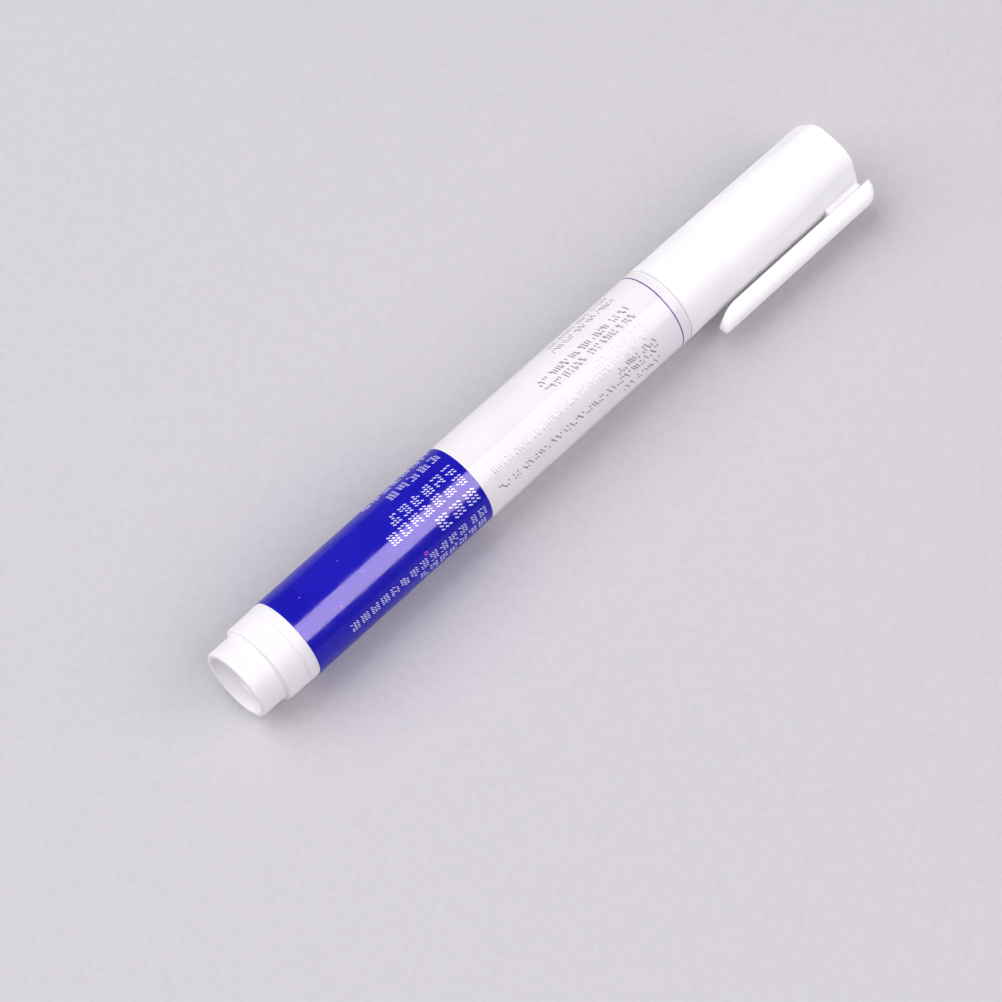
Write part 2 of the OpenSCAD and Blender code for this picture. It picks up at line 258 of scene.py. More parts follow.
def extruded(name: str, outline: np.ndarray, low: float, high: float, roll: float) -> bpy.types.Object:
    """A straight bar whose plan outline (x, y) is carried outwards from radius low to high.

    The bar stands straight up at roll 0 and is turned about the pen's axis by roll:
    (x, y, z) goes to (x, y cos roll - z sin roll, y sin roll + z cos roll).

    Args:
        name: The piece's name.
        outline: The plan outline, shape (n, 2), in metres.
        low: The bar's inner radius, in metres.
        high: Its outer radius, in metres.
        roll: Where it stands around the pen, in radians.

    Returns:
        The new object.
    """
    n = len(outline)
    levels = np.array([low, high])
    flat = np.broadcast_to(outline[None], (2, n, 2))
    y, z = flat[..., 1], np.broadcast_to(levels[:, None], (2, n))
    points = np.stack([flat[..., 0], y * math.cos(roll) - z * math.sin(roll),
                       y * math.sin(roll) + z * math.cos(roll)], axis=2).reshape(-1, 3)
    j = np.arange(n)
    l = (j + 1) % n
    sides = np.stack([j, l, n + l, n + j], axis=1)
    area = (outline[j, 0] * outline[l, 1] - outline[l, 0] * outline[j, 1]).sum()
    faces = sides.tolist() + [j[::-1].tolist(), (n + j).tolist()]
    if area < 0:
        faces = [f[::-1] for f in faces]
    return mesh_piece(name, points, faces)


# ---------------------------------------------------------------------------------------------
# Finishes
# ---------------------------------------------------------------------------------------------


class Sheet:
    """A material's node tree with short ways to add and join nodes."""

    def __init__(self, name: str) -> None:
        """Starts a material with its principled shader and the piece's own coordinates.

        Args:
            name: The material's name.
        """
        self.material = bpy.data.materials.new(name)
        self.material.use_nodes = True
        self.tree = self.material.node_tree
        self.shader = self.tree.nodes["Principled BSDF"]
        self.place = self.tree.nodes.new("ShaderNodeTexCoord").outputs["Object"]

    def set(self, **values: object) -> None:
        """Sets sockets of the shader itself. An underscore in a name stands for a space."""
        for key, value in values.items():
            self.shader.inputs[key.replace("_", " ")].default_value = value

    def node(self, kind: str, sockets: dict = None, **properties: object) -> bpy.types.Node:
        """Adds a node, sets its properties, and sets or links its input sockets.

        Args:
            kind: The node's type without its common beginning.
            sockets: Input name or number to a value, or to an output socket to link.
            **properties: The node's own properties.

        Returns:
            The new node.
        """
        made = self.tree.nodes.new("ShaderNode" + kind)
        for key, value in properties.items():
            setattr(made, key, value)
        for key, value in (sockets or {}).items():
            if isinstance(value, bpy.types.NodeSocket):
                self.tree.links.new(value, made.inputs[key])
            else:
                made.inputs[key].default_value = value
        return made

    def math(self, operation: str, a: object, b: object = 0.0) -> bpy.types.NodeSocket:
        """The result of one calculation on two values or outputs."""
        return self.node("Math", {0: a, 1: b}, operation=operation).outputs[0]

    def noise(self, scale: float, detail: float = 2.0, stretch: tuple = (1, 1, 1)) -> bpy.types.NodeSocket:
        """Soft noise on the piece's own coordinates, with features of about 1 / scale metres.

        Args:
            scale: How many features there are to the metre.
            detail: Octaves of finer noise.
            stretch: The scale along x, y and z, relative to scale.

        Returns:
            The noise's output socket.
        """
        mapped = self.node("Mapping", {"Vector": self.place, "Scale": stretch})
        made = self.node("TexNoise", {"Vector": mapped.outputs[0], "Scale": scale, "Detail": detail})
        return made.outputs["Fac"]

    def ramp(self, value: object, low: float, high: float, out_low: float = 0.0,
             out_high: float = 1.0) -> bpy.types.NodeSocket:
        """A value carried from one range to another, clamped and eased at both ends.

        Args:
            value: The value or output to carry over.
            low: Where its range begins.
            high: Where its range ends.
            out_low: The result at low.
            out_high: The result at high.

        Returns:
            The result's output socket.
        """
        made = self.node("MapRange", {"Value": value, "From Min": low, "From Max": high,
                                      "To Min": out_low, "To Max": out_high},
                         interpolation_type="SMOOTHSTEP")
        return made.outputs["Result"]

    def mix(self, share: object, a: object, b: object) -> bpy.types.NodeSocket:
        """The colour that goes from a to b as share goes from 0 to 1."""
        made = self.node("Mix", {"Factor": share, 6: a, 7: b}, data_type="RGBA")
        return made.outputs[2]

    def bump(self, height: object, distance: float, strength: float = 1.0,
             below: object = None) -> bpy.types.NodeSocket:
        """A normal bent by a height pattern.

        Args:
            height: The pattern, from 0 to 1.
            distance: The height of its full range, in metres.
            strength: How much of it shows.
            below: Another normal that this one lies on.

        Returns:
            The normal's output socket.
        """
        sockets = {"Height": height, "Distance": distance, "Strength": strength}
        if below is not None:
            sockets["Normal"] = below
        return self.node("Bump", sockets).outputs[0]

    def join(self, output: bpy.types.NodeSocket, name: str) -> None:
        """Links an output to a socket of the shader."""
        self.tree.links.new(output, self.shader.inputs[name])

    def cover(self, share: object, a: tuple, b: tuple) -> None:
        """Colours the shader from a to b as share goes from 0 to 1."""
        self.join(self.mix(share, rgba(a), rgba(b)), "Base Color")

    def roughen(self, pattern: object, low: float, high: float) -> None:
        """Lets a noise pattern carry the shader's roughness from low to high."""
        self.join(self.ramp(pattern, 0.3, 0.7, low, high), "Roughness")


def rgba(colour: tuple) -> tuple:
    """A linear colour with full opacity."""
    return (*colour, 1.0)


@dataclass(frozen=True)
class MouldedPlastic:
    """Injection-moulded plastic: two near shades in soft clouds, a fine skin and faint flow lines."""

    name: str
    colour: tuple
    shade: tuple
    rough: float = 0.36
    skin: float = 1.0
    glow: float = 0.0
    shine: float = 0.10
    glow_depth: float = 0.0018

    def material(self) -> bpy.types.Material:
        """The plastic's material, with subsurface light where it has a glow.

        Returns:
            The new material.
        """
        s = Sheet(self.name)
        clouds = s.ramp(s.noise(130, 3), 0.35, 0.68)
        specks = s.ramp(s.noise(2600, 2), 0.70, 0.76)
        base = s.mix(clouds, rgba(self.colour), rgba(self.shade))
        dusty = s.mix(s.math("MULTIPLY", specks, 0.35), base, rgba(tuple(0.72 * c for c in self.shade)))
        s.join(dusty, "Base Color")
        s.roughen(s.noise(420, 3), self.rough - 0.05, self.rough + 0.06)
        flow = s.noise(160, 2, (0.25, 1, 1))
        fine = s.noise(5200, 2)
        low = s.bump(flow, 3e-5 * self.skin, 0.5)
        s.join(s.bump(fine, 4e-6 * self.skin, 0.6, low), "Normal")
        s.set(IOR=1.48, Specular_IOR_Level=self.shine)
        if self.glow:
            s.set(Subsurface_Weight=self.glow, Subsurface_Radius=(1.0, 0.9, 0.85),
                  Subsurface_Scale=self.glow_depth)
        return s.material


@dataclass(frozen=True)
class PrintedFilm:
    """Glossy printed film: blue behind one place along the pen, white before it, and a thin line."""

    name: str
    blue: tuple = (0.007, 0.005, 0.37)
    blue_shade: tuple = (0.011, 0.008, 0.41)
    white: tuple = (0.80, 0.785, 0.808)
    white_shade: tuple = (0.775, 0.76, 0.785)
    line: tuple = (0.13, 0.09, 0.30)
    fleck: tuple = (0.55, 0.50, 0.85)
    blue_to: float = 49.7
    line_at: float = 94.5
    line_width: float = 0.26
    rough: float = 0.13
    shine: float = 0.20

    def material(self) -> bpy.types.Material:
        """The film's material: colours by the place along the pen, tiny flecks and a soft ripple.

        Returns:
            The new material.
        """
        s = Sheet(self.name)
        x = s.node("SeparateXYZ", {0: s.place}).outputs["X"]
        wobble = s.math("MULTIPLY", s.math("SUBTRACT", s.noise(900, 1), 0.5), 0.08 * MM)
        edge = s.math("ADD", x, wobble)
        is_white = s.ramp(edge, (self.blue_to - 0.04) * MM, (self.blue_to + 0.04) * MM)
        blue = s.mix(s.ramp(s.noise(90, 3), 0.35, 0.65), rgba(self.blue), rgba(self.blue_shade))
        cells = s.node("TexVoronoi", {"Vector": s.place, "Scale": 620.0, "Randomness": 1.0})
        chosen = s.node("SeparateColor", {0: cells.outputs["Color"]}).outputs[0]
        near = s.ramp(cells.outputs["Distance"], 0.035, 0.075, 1.0, 0.0)
        rare = s.math("GREATER_THAN", chosen, 0.80)
        flecked = s.mix(s.math("MULTIPLY", s.math("MULTIPLY", near, rare), 0.55), blue, rgba(self.fleck))
        white = s.mix(s.ramp(s.noise(140, 3), 0.4, 0.7), rgba(self.white), rgba(self.white_shade))
        ground = s.mix(is_white, flecked, white)
        off = s.math("ABSOLUTE", s.math("SUBTRACT", edge, self.line_at * MM))
        on_line = s.ramp(off, (self.line_width / 2 - 0.03) * MM, (self.line_width / 2 + 0.03) * MM, 1.0, 0.0)
        s.join(s.mix(on_line, ground, rgba(self.line)), "Base Color")
        s.roughen(s.noise(500, 3), self.rough - 0.03, self.rough + 0.05)
        ripple = s.bump(s.noise(220, 2, (0.3, 1, 1)), 3e-5, 0.35)
        s.join(s.bump(s.noise(3800, 2), 2e-6, 0.5, ripple), "Normal")
        s.set(IOR=1.5, Specular_IOR_Level=self.shine)
        return s.material


@dataclass(frozen=True)
class PrintInk:
    """A printed ink with slightly uneven cover."""

    name: str
    colour: tuple
    thin: tuple
    rough: float = 0.3

    def material(self) -> bpy.types.Material:
        """The ink's material.

        Returns:
            The new material.
        """
        s = Sheet(self.name)
        s.cover(s.ramp(s.noise(2400, 2), 0.3, 0.7), self.colour, self.thin)
        s.roughen(s.noise(1500, 2), self.rough - 0.05, self.rough + 0.05)
        s.join(s.bump(s.noise(5000, 2), 2e-6, 0.5), "Normal")
        return s.material


@dataclass(frozen=True)
class SealRubber:
    """Black moulded rubber with a dull bloom."""

    name: str
    colour: tuple = (0.020, 0.020, 0.022)
    bloom: tuple = (0.055, 0.055, 0.060)

    def material(self) -> bpy.types.Material:
        """The rubber's material.

        Returns:
            The new material.
        """
        s = Sheet(self.name)
        s.cover(s.ramp(s.noise(900, 3), 0.45, 0.75), self.colour, self.bloom)
        s.roughen(s.noise(700, 2), 0.42, 0.6)
        s.join(s.bump(s.noise(6000, 2), 6e-6, 0.6), "Normal")
        return s.material


@dataclass(frozen=True)
class DrawnWire:
    """Drawn stainless wire: metal with fine lines across the coil's axis."""

    name: str
    colour: tuple = (0.62, 0.61, 0.60)
    dull: tuple = (0.48, 0.47, 0.46)

    def material(self) -> bpy.types.Material:
        """The wire's material.

        Returns:
            The new material.
        """
        s = Sheet(self.name)
        s.cover(s.ramp(s.noise(1500, 3), 0.35, 0.7), self.colour, self.dull)
        s.roughen(s.noise(2600, 3, (6, 1, 1)), 0.22, 0.38)
        s.join(s.bump(s.noise(9000, 2, (5, 1, 1)), 3e-6, 0.5), "Normal")
        s.set(Metallic=1.0)
        return s.material


@dataclass(frozen=True)
class NibFibre:
    """Pressed polyester fibre: long fine strands along the pen, a little darker in the pores."""

    name: str
    colour: tuple = (0.84, 0.81, 0.72)
    pore: tuple = (0.60, 0.56, 0.46)

    def material(self) -> bpy.types.Material:
        """The fibre's material.

        Returns:
            The new material.
        """
        s = Sheet(self.name)
        strands = s.noise(7000, 3, (0.06, 1, 1))
        s.cover(s.ramp(strands, 0.42, 0.68), self.colour, self.pore)
        s.roughen(s.noise(800, 2), 0.8, 0.95)
        s.join(s.bump(strands, 4e-5, 0.8), "Normal")
        return s.material


@dataclass(frozen=True)
class AmberFluid:
    """Clear amber fluid with faint clouds of deeper colour."""

    name: str
    colour: tuple = (0.90, 0.66, 0.25)
    deep: tuple = (0.80, 0.52, 0.15)

    def material(self) -> bpy.types.Material:
        """The fluid's material.

        Returns:
            The new material.
        """
        s = Sheet(self.name)
        s.cover(s.ramp(s.noise(120, 2), 0.3, 0.7), self.colour, self.deep)
        s.roughen(s.noise(300, 2), 0.03, 0.07)
        s.set(Transmission_Weight=0.85, IOR=1.36)
        return s.material


# The cap's and clip's plastic is painted brighter than the pen's other white plastic: painted bounce light
# between the clip and the cap.
BOUNCE_LIT_WHITE_PLASTIC = MouldedPlastic("white_plastic_painted_bounce_light", (0.930, 0.915, 0.930), (0.912, 0.898, 0.914),
                               0.46, 1.0, 0.4)
# The plug's copy of the same white plastic is painted darker: painted shade that keeps the shading in its
# dished end and keeps its outer walls from going too bright.
SHADED_PLUG_PLASTIC = MouldedPlastic("white_plug_plastic_painted_shade", (0.835, 0.819, 0.842), (0.818, 0.803, 0.825),
                              0.48, 1.0, 0.08, glow_depth=0.0005)
BARREL_PLASTIC = MouldedPlastic("barrel_plastic", (0.82, 0.807, 0.822), (0.80, 0.787, 0.803),
                                0.48, 1.0, 0.15, glow_depth=0.0008)
NATURAL_PLASTIC = MouldedPlastic("natural_plastic", (0.80, 0.80, 0.77), (0.77, 0.77, 0.735), 0.45, 1.2, 0.25)
STEM_PLASTIC = MouldedPlastic("valve_plastic", (0.74, 0.74, 0.73), (0.70, 0.70, 0.69), 0.40, 1.2)
BLUE_FILM = PrintedFilm("printed_film_blue")
WHITE_FILM = PrintedFilm("printed_film_white", shine=0.06)
GREY_INK = PrintInk("grey_ink", (0.17, 0.16, 0.18), (0.27, 0.255, 0.28))
PALE_INK = PrintInk("pale_ink", (0.78, 0.76, 0.90), (0.62, 0.59, 0.86))
PINK_INK = PrintInk("pink_ink_fleck", (0.62, 0.06, 0.42), (0.50, 0.08, 0.48))
RUBBER = SealRubber("seal_rubber")
WIRE = DrawnWire("drawn_wire")
FIBRE = NibFibre("nib_fibre")
FLUID = AmberFluid("amber_fluid")


def dress(piece: bpy.types.Object, material: bpy.types.Material, slot: str, body: str,
          *replaced: str) -> bpy.types.Object:
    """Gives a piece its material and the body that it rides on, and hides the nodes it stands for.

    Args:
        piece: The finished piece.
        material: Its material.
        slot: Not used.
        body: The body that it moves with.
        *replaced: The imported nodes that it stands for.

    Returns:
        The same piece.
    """
    piece.data.materials.clear()
    piece.data.materials.append(material)
    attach(piece, body)
    if replaced:
        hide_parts(*replaced)
    LOG.info("%s on %s, %d faces", piece.name, body, len(piece.data.polygons))
    return piece


# ---------------------------------------------------------------------------------------------
# Sub-assemblies
# ---------------------------------------------------------------------------------------------


@dataclass
class TailPlug:
    """The plug that closes the tail: spigot with a dished end, stepped head, and a hollow skirt."""

    spigot_r: float = 6.425
    spigot_len: float = 4.85
    head_r: float = 7.225
    head_end: float = 9.2
    rim_wall: float = 0.8
    recess_depth: float = 1.5
    dimple_r: float = 2.4
    dimple_depth: float = 2.0
    skirt_r: float = 6.15
    skirt_wall: float = 1.2
    skirt_end: float = 16.7
    hollow_from: float = 5.05
    dish_power: float = 5.0
    edge_soft: float = 0.35
    wall_soft: float = 0.3

    def outline(self) -> np.ndarray:
        """The plug's half section, from the dimple's middle round the outside to the hollow's floor.

        The dish is x = depth * (1 - (r / rim)^5), flat in the middle and steep at its rim, and the
        dimple below it is x = depth * (1 - (r / rim)^2). Between them x goes in two straight steps
        over edge_soft on each side of the dimple's rim.

        Returns:
            Points (x, radius) in millimetres.
        """
        dish_r = self.spigot_r - self.rim_wall
        inner = np.linspace(0, self.dimple_r - self.edge_soft, 14)
        at_rim = self.recess_depth * (1 - (self.dimple_r / dish_r) ** self.dish_power)
        cup = at_rim + self.dimple_depth * (1 - (inner / self.dimple_r) ** 2)
        outer = np.linspace(self.dimple_r + self.edge_soft, dish_r - self.wall_soft, 16)
        dish = self.recess_depth * (1 - (outer / dish_r) ** self.dish_power)
        edge_r = np.linspace(inner[-1], outer[0], 7)[1:-1]
        edge = np.interp(edge_r, [inner[-1], self.dimple_r, outer[0]],
                         [cup[-1], 0.5 * (cup[-1] + dish[0]) + 0.02, dish[0]])
        face = np.stack([np.concatenate([cup, edge, dish]), np.concatenate([inner, edge_r, outer])], 1)
        rim = rounded_path(
            [tuple(face[-1]), (0.0, dish_r), (0.0, self.spigot_r), (self.spigot_len, self.spigot_r),
             (self.spigot_len + 0.12, self.head_r), (self.head_end, self.head_r),
             (self.head_end, self.skirt_r), (self.skirt_end, self.skirt_r),
             (self.skirt_end, self.skirt_r - self.skirt_wall),
             (self.hollow_from, self.skirt_r - self.skirt_wall), (self.hollow_from, 0.0)],
            [0, 0.26, 0.34, 0.50, 0.62, 0.05, 0.05, 0.3, 0.3, 0.4, 0], closed=False, arc_steps=8)
        return np.concatenate([face[:-1], rim])

    def build(self) -> None:
        """Makes the plug and dresses it."""
        path = self.outline() * MM
        piece = closed_surface("tail_plug_moulding", around(path[:, 0], path[:, 1], 144), Ends.POLES)
        # The plug's plastic carries painted shade in its darker colour.
        dress(piece, SHADED_PLUG_PLASTIC.material(), "white_plastic", "pen_body", "tail_plug")


@dataclass
class Barrel:
    """The barrel tube with its shoulder, and the thinner neck with a snap bead."""

    start: float = 9.2
    shoulder: float = 96.56
    end: float = 106.0
    outer_r: float = 7.3
    bore_r: float = 6.15
    neck_r: float = 6.45
    neck_bore_r: float = 5.35
    shoulder_t: float = 1.05
    bead_h: float = 0.05
    bead_from: float = 102.85
    bead_len: float = 1.0

    def build(self) -> None:
        """Makes the barrel and dresses it."""
        lip = self.neck_r + self.bead_h
        corners = [
            (self.start, self.bore_r), (self.start, self.outer_r), (self.shoulder, self.outer_r),
            (self.shoulder, self.neck_r), (self.bead_from, self.neck_r),
            (self.bead_from + self.bead_len / 2, lip), (self.bead_from + self.bead_len, self.neck_r),
            (self.end, self.neck_r), (self.end, self.neck_bore_r),
            (self.shoulder - self.shoulder_t, self.neck_bore_r),
            (self.shoulder - self.shoulder_t, self.bore_r)]
        radii = [0.1, 0.05, 0.05, 0.2, 0.3, 0.6, 0.3, 0.12, 0.1, 0.1, 0.2]
        piece = turned("barrel_tube", corners, radii, Ends.LOOP, 144)
        dress(piece, BARREL_PLASTIC.material(), "white_plastic", "pen_body", "barrel")


@dataclass
class Row:
    """One row of small print along the pen.

    Attributes:
        angle: Where the row runs around the pen, in degrees.
        start: Where it begins along the pen, in millimetres.
        end: Where it ends.
        height: Height of its short marks.
        width: Width of its strokes.
        lean: Slant of its strokes, in degrees.
    """

    angle: float
    start: float
    end: float
    height: float
    width: float
    lean: float = 0.0


@dataclass
class Label:
    """The wrapped film with its overlap at the back, and the rows of small marks that stand for print."""

    start: float = 11.3
    end: float = 95.9
    inner_r: float = 7.3
    outer_r: float = 7.436
    film: float = 0.05
    overlap_at: float = 200.0
    ink_proud: float = 0.012
    ink_sunk: float = 0.03
    drop: float = 180.0
    seed: int = 41
    grey_rows: list = field(default_factory=lambda: [
        Row(-46.3, 75, 89, 1.10, 0.15), Row(-32.3, 75, 89, 1.10, 0.15),
        Row(-6.3, 68.5, 89, 1.20, 0.20), Row(6.7, 68.5, 89, 1.20, 0.20),
        Row(23.3, 77.5, 89, 1.50, 0.13), Row(36.7, 52, 89, 1.20, 0.16),
        Row(49.7, 79, 89, 1.20, 0.21, 14), Row(61.7, 51, 89, 1.20, 0.20, 14),
        Row(78.7, 80, 88.5, 1.30, 0.18, 14)])
    pale_rows: list = field(default_factory=lambda: [
        Row(-54.8, 33, 48.6, 1.75, 0.19), Row(-31.3, 36, 48.6, 1.85, 0.20),
        Row(-1.3, 32.4, 48.4, 1.95, 0.21), Row(17.3, 29.8, 48.5, 1.95, 0.21),
        Row(42.2, 38, 48.7, 2.5, 0.24), Row(70.1, 17.3, 48.7, 1.75, 0.19),
        Row(87.7, 33.4, 48.2, 1.75, 0.19)])

    def film_grid(self, steps: int = 240) -> np.ndarray:
        """The film's surface. Its outside climbs by one film's thickness over a turn.

        Outer radius = outer_r - film * (1 - turn share), dropping back over a 1 / drop share of
        the turn at the overlap. The two edges along the pen are rounded. One row of points stands
        where the blue meets the white.

        Args:
            steps: Number of angles.

        Returns:
            Points of shape (rows, steps, 3), in metres.
        """
        path = rounded_path([(self.start, self.inner_r), (self.start, self.outer_r),
                             (self.end, self.outer_r), (self.end, self.inner_r)],
                            [0.01, 0.03, 0.03, 0.01], arc_steps=4)
        seam = int(np.argmax(np.diff(path[:, 0]))) + 1
        path = np.insert(path, seam, [BLUE_FILM.blue_to, self.outer_r], axis=0)
        turn = np.arange(steps) * 360 / steps
        share = ((turn - self.overlap_at) % 360) / 360
        step = np.clip((1 - share) * self.drop, 0, 1)
        climb = self.film * (share * step - 1)
        lift = (path[:, 1] - self.inner_r) / (self.outer_r - self.inner_r)
        radius = path[:, 1][:, None] + lift[:, None] * climb[None, :]
        return around(path[:, 0] * MM, radius * MM, steps)

    def strokes(self, name: str, marks: np.ndarray) -> bpy.types.Object:
        """Thin bars of ink that follow the film's curve.

        A mark is (x, arc, length, width, tilt): its middle along the pen and around it, its size,
        and its angle from the pen's direction. The point at share t of its length and side s of
        its width lies at (x + u cos tilt - v sin tilt, arc + u sin tilt + v cos tilt), and the
        arc is divided by the radius to give the angle around the pen.

        Args:
            name: The piece's name.
            marks: Shape (n, 5), in millimetres and radians.

        Returns:
            One object with a closed bar for each mark.
        """
        cuts = 6
        n = len(marks)
        x, arc, length, width, tilt = (marks[:, k][:, None, None] for k in range(5))
        u = (np.linspace(-0.5, 0.5, cuts + 1)[None, :, None]) * length
        v = np.array([-0.5, 0.5])[None, None, :] * width
        along = x + u * np.cos(tilt) - v * np.sin(tilt)
        across = arc + u * np.sin(tilt) + v * np.cos(tilt)
        turn = np.degrees(across / self.outer_r)
        share = ((turn - self.overlap_at) % 360) / 360
        skin = self.outer_r + self.film * (share - 1)
        levels = np.stack([skin - self.ink_sunk, skin + self.ink_proud], axis=1)
        angle = np.radians(turn)[:, None]
        points = np.stack([np.broadcast_to(along[:, None], levels.shape),
                           -levels * np.sin(angle), levels * np.cos(angle)], axis=-1) * MM
        # Numbering inside one bar: level * 2 * (cuts + 1) + cut * 2 + side
        t = np.arange(cuts) * 2
        deck = 2 * (cuts + 1)
        top = np.stack([deck + t, deck + t + 2, deck + t + 3, deck + t + 1], axis=1)
        bottom = np.stack([t, t + 1, t + 3, t + 2], axis=1)
        left = np.stack([t, t + 2, deck + t + 2, deck + t], axis=1)
        right = np.stack([t + 1, deck + t + 1, deck + t + 3, t + 3], axis=1)
        tips = np.array([[0, deck, deck + 1, 1],
                         [2 * cuts, 2 * cuts + 1, deck + 2 * cuts + 1, deck + 2 * cuts]])
        one = np.vstack([top, bottom, left, right, tips])
        faces = (one[None] + (np.arange(n) * 2 * deck)[:, None, None]).reshape(-1, 4)
        piece = mesh_piece(name, points.reshape(-1, 3), faces[:, ::-1].tolist())
        piece.data.polygons.foreach_set("use_smooth", np.zeros(len(piece.data.polygons), bool))
        return piece

    def word_marks(self, row: Row, rng: np.random.Generator) -> list:
        """Groups of parallel slanting ticks with gaps between, as a row of small print.

        Each tick is whole, or only its upper or lower half, or both halves with a gap. Ticks are
        0.42 of the row's height apart and all lean the same way, so that no two strokes touch
        and none of them form a sign.

        Args:
            row: Where the row runs and how large its marks are.
            rng: The label's seeded random numbers.

        Returns:
            Marks as (x, place around, length, width, tilt), in millimetres and radians.
        """
        marks, x = [], row.end
        middle = math.radians(row.angle) * self.outer_r
        tilt = math.pi / 2 - math.radians(18 + row.lean)
        h, w = row.height, row.width
        while x > row.start + h:
            for _ in range(int(rng.integers(4, 11))):
                lift = h * rng.uniform(-0.05, 0.08)
                halves = [(0.0, 1.05), (0.0, 0.85), (-0.30, 0.42), (0.30, 0.42)]
                kind = int(rng.integers(0, 5))
                for level, size in (halves[kind:kind + 1] or halves[2:]):
                    marks.append((x - level * h * math.cos(tilt), middle + lift + level * h,
                                  size * h, w, tilt))
                x -= 0.42 * h
                if x < row.start + 0.3:
                    break
            x -= 0.5 * h
        return marks

    def block_marks(self, row: Row, rng: np.random.Generator) -> list:
        """Square blocks of short parallel dashes with gaps between, as a row of dense print.

        A block is a lattice of four by three dashes that all slant alike, with a few left out.

        Args:
            row: Where the row runs and how large its marks are.
            rng: The label's seeded random numbers.

        Returns:
            Marks as (x, place around, length, width, tilt), in millimetres and radians.
        """
        marks, x = [], row.end - row.height / 2
        middle = math.radians(row.angle) * self.outer_r
        h, way = row.height, math.radians(32)
        while x > row.start + h / 2:
            for across in (-0.39, -0.13, 0.13, 0.39):
                for along in (-0.33, 0.0, 0.33):
                    if rng.random() < 0.14:
                        continue
                    marks.append((x + h * (along + rng.uniform(-0.02, 0.02)), middle + h * across,
                                  h * rng.uniform(0.24, 0.29), row.width * rng.uniform(0.75, 0.95), way))
            x -= h * 1.24
        return marks

    def fleck_marks(self) -> np.ndarray:
        """A tiny open ring of pink ink on the blue, as eight short bars around a circle, and a dot.

        Returns:
            Marks of shape (9, 5), in millimetres and radians.
        """
        turn = np.arange(8) * math.pi / 4
        ring_r, x, arc = 0.30, 35.9, math.radians(58.7) * self.outer_r
        ring = np.stack([x + ring_r * np.cos(turn), arc + ring_r * np.sin(turn),
                         np.full(8, 0.27), np.full(8, 0.14), turn + math.pi / 2], axis=1)
        return np.vstack([ring, [15.4, math.radians(-7.7) * self.outer_r, 0.22, 0.2, 0.4]])

    def build(self) -> None:
        """Makes the film and its print and dresses them."""
        film = closed_surface("label_film_wrap", self.film_grid(), Ends.LOOP)
        dress(film, BLUE_FILM.material(), "label_film", "pen_body", "label_wrap")
        film.data.materials.append(WHITE_FILM.material())
        centres = np.empty(len(film.data.polygons) * 3)
        film.data.polygons.foreach_get("center", centres)
        is_white = (centres[::3] > WHITE_FILM.blue_to * MM).astype(np.int32)
        film.data.polygons.foreach_set("material_index", is_white)
        rng = np.random.default_rng(self.seed)
        sheets = {
            Ink.GREY: ([m for row in self.grey_rows for m in self.word_marks(row, rng)], GREY_INK),
            Ink.PALE: ([m for row in self.pale_rows for m in self.block_marks(row, rng)], PALE_INK)}
        for ink, (marks, finish) in sheets.items():
            piece = self.strokes(f"label_print_{ink.value}", np.array(marks))
            dress(piece, finish.material(), "label_film", "pen_body")
        ring = self.strokes("label_ink_fleck", self.fleck_marks())
        dress(ring, PINK_INK.material(), "label_film", "pen_body")


@dataclass
class FrontSection:
    """The socket, flange, sealing land and nose cone that carry the nib."""

    start: float = 98.5
    flange: float = 106.0
    land: float = 107.5
    cone: float = 112.5
    tip: float = 121.0
    socket_r: float = 3.6
    socket_end: float = 104.1
    neck_fit_r: float = 5.35
    groove_r: float = 4.35
    groove_from: float = 101.7
    groove_to: float = 102.8
    flange_r: float = 6.45
    land_r: float = 4.9
    cone_r: float = 4.4
    tip_r: float = 3.0
    nib_bore_r: float = 2.05

    def build(self) -> None:
        """Makes the front section and dresses it."""
        corners = [
            (self.start, self.socket_r), (self.start, self.neck_fit_r), (self.groove_from, self.neck_fit_r),
            (self.groove_from, self.groove_r), (self.groove_to, self.groove_r),
            (self.groove_to, self.neck_fit_r), (self.flange, self.neck_fit_r), (self.flange, self.flange_r),
            (self.land, self.flange_r), (self.land, self.land_r), (self.cone, self.land_r),
            (self.cone, self.cone_r), (self.tip, self.tip_r), (self.tip, self.nib_bore_r),
            (self.socket_end, self.nib_bore_r), (self.socket_end, self.socket_r)]
        radii = [0.1, 0.2, 0.1, 0.15, 0.15, 0.1, 0.05, 0.15, 0.25, 0.25, 0.3, 0.15, 0.4, 0.2, 0.1, 0.1]
        piece = turned("nib_front_section", corners, radii, Ends.LOOP, 128)
        dress(piece, NATURAL_PLASTIC.material(), "natural_plastic", "pen_body", "nib_holder")


@dataclass
class Nib:
    """The fibre nib: a rod with a bullet tip, worn a little softer at the very end."""

    start: float = 106.0
    tip_start: float = 124.3
    tip_end: float = 127.5
    radius: float = 2.0

    def build(self) -> None:
        """Makes the nib and dresses it.

        Its tip's radius falls as (1 - t^2.2)^0.62 with t from 0 at the tip's start to 1 at its end.
        """
        t = 1 - (1 - np.linspace(0, 1, 28)) ** 2
        tip = np.stack([self.tip_start + (self.tip_end - self.tip_start) * t,
                        self.radius * (1 - t ** 2.2) ** 0.62], axis=1)
        rod = rounded_path([(self.start, 0), (self.start, self.radius), tuple(tip[0])], [0, 0.25, 0],
                           closed=False)
        path = np.concatenate([rod[:-1], tip]) * MM
        piece = closed_surface("fibre_nib", around(path[:, 0], path[:, 1], 96), Ends.POLES)
        dress(piece, FIBRE.material(), "nib_fibre", "nib_and_stem", "nib")


